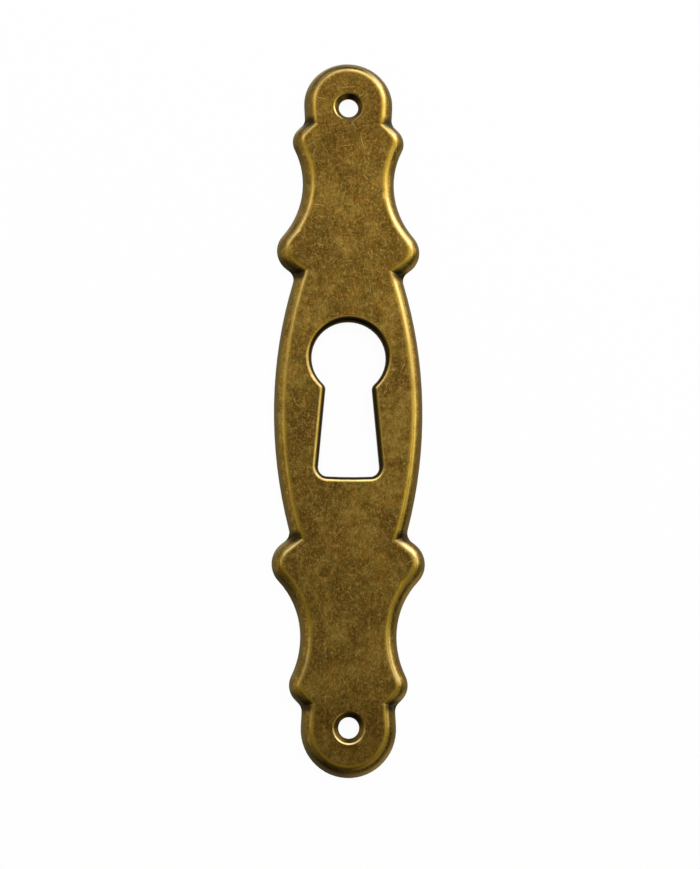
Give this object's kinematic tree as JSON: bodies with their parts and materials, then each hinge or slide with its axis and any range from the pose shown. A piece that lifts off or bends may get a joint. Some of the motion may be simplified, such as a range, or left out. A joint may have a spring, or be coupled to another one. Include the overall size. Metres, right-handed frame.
{
  "type": "keyhole escutcheon",
  "caption": "Long waisted keyhole escutcheon pressed from brass sheet, with round heads, cusped notches, a flared keyhole and countersunk screw holes.",
  "frame": {"origin": "in the plane of the back rim, at the middle of the plate's length and width", "axes": "+Y along the plate towards the round end of the keyhole, +Z out of the front, X across"},
  "size_m": [0.0206, 0.1, 0.0014],
  "materials": {
    "aged_brass": "antiqued brass, satin, mottled with worn bright edges"
  },
  "bodies": {
    "root": {"escutcheon_plate": "aged_brass"}
  },
  "joints": []
}
